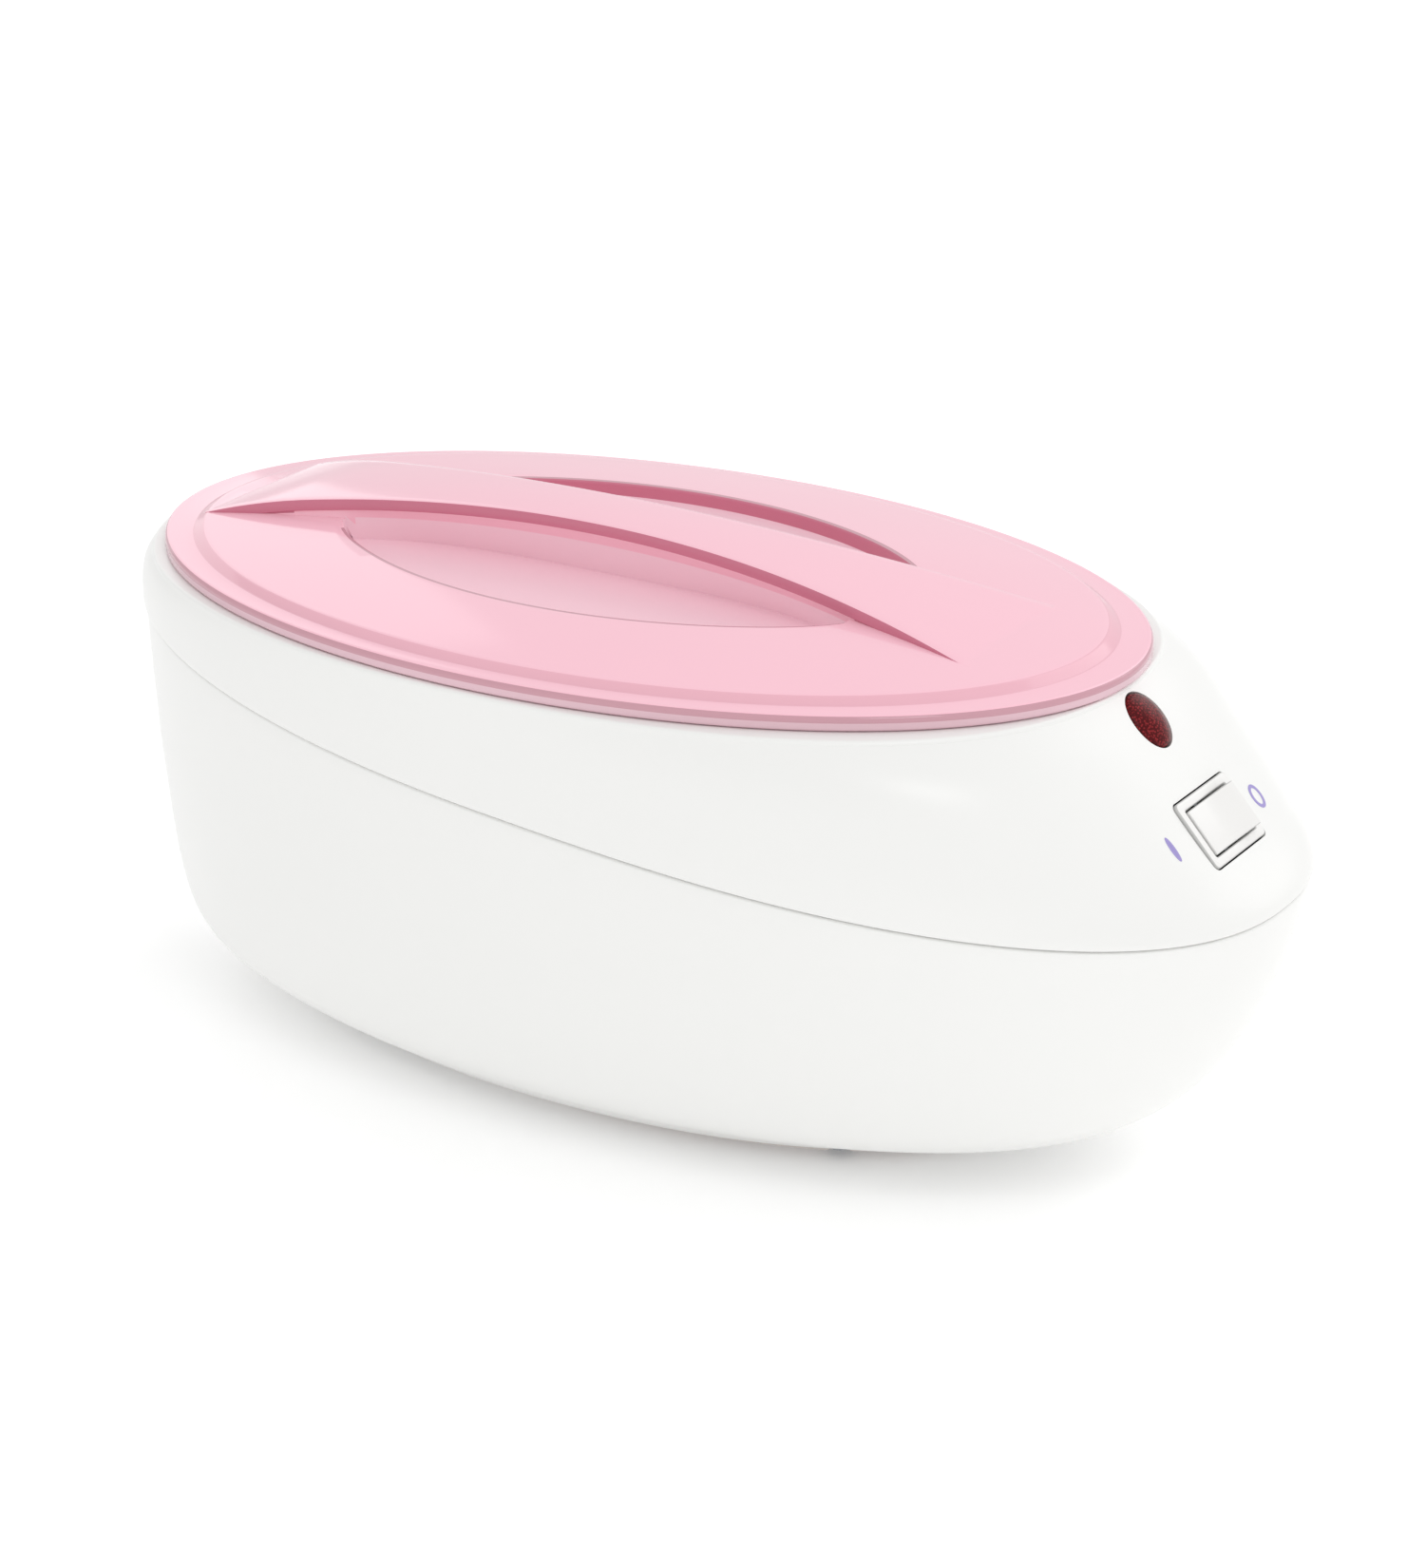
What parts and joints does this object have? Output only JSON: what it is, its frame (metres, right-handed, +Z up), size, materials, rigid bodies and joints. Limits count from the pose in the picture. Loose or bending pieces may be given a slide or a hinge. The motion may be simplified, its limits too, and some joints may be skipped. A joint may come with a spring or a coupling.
{
  "type": "wax warmer pot",
  "caption": "Oval paraffin wax bath: white two-part housing, aluminium basin, translucent pink lift-off lid with a pinch ridge, nose-mounted lamp and rocker switch.",
  "frame": {"origin": "on the table, under the middle of the outline", "axes": "+X towards the nose with the lamp and the switch, +Y across the pot, +Z up"},
  "size_m": [0.38, 0.203, 0.1699],
  "materials": {
    "housing_white": "injection-moulded white, glossy with a soft sheen",
    "lid_pink": "translucent pink, polished",
    "switch_white": "white, slightly satin",
    "lamp_red": "deep red translucent lens with a grainy core",
    "lamp_glass": "clear glow-lamp glass",
    "basin_aluminium": "pressed aluminium, satin",
    "steel": "zinc-plated",
    "brass": "stamped, plain",
    "rubber": "matt",
    "silicone": "matt, slightly translucent",
    "black_plastic": "fine moulded grain",
    "glass_fibre": "woven glass fibre",
    "porcelain": "glazed ceramic",
    "lead_brown": "wire insulation",
    "lead_blue": "wire insulation"
  },
  "bodies": {
    "base": {"lower_housing": "housing_white", "upper_housing": "housing_white", "base_plate": "housing_white", "rubber_foot_1": "rubber", "rubber_foot_2": "rubber", "rubber_foot_3": "rubber", "rubber_foot_4": "rubber", "base_screw_1": "steel", "base_screw_2": "steel", "base_screw_3": "steel", "base_screw_4": "steel", "cord_gland": "black_plastic", "gland_nut": "black_plastic", "wax_basin": "basin_aluminium", "basin_gasket": "silicone", "heater_rod": "steel", "element_clamp": "steel", "clamp_screw_1": "steel", "clamp_screw_2": "steel", "insulation_band": "glass_fibre", "thermostat_cap": "steel", "thermostat_body": "porcelain", "thermostat_bracket": "steel", "thermal_fuse": "steel", "fuse_sleeve": "glass_fibre", "terminal_block": "porcelain", "switch_bezel": "switch_white", "rocker_pin": "steel", "switch_terminal_1": "brass", "switch_terminal_2": "brass", "switch_terminal_3": "brass", "lamp_lens": "lamp_red", "lamp_holder": "black_plastic", "neon_bulb": "lamp_glass", "switch_lead": "lead_brown", "heater_lead": "lead_blue", "lamp_lead": "lead_blue"},
    "rocker": {"rocker": "switch_white"},
    "lid": {"lid": "lid_pink"}
  },
  "joints": [
    {"name": "lid_lift", "type": "slide", "parent": "base", "child": "lid", "axis": [0, 0, 1], "range_m": [0, 0.12]},
    {"name": "rocker_tilt", "type": "hinge", "parent": "base", "child": "rocker", "pos_m": [0.16508, 0, 0.11169], "axis": [0.6698, 0, -0.7426], "range_deg": [-18, 0]}
  ]
}
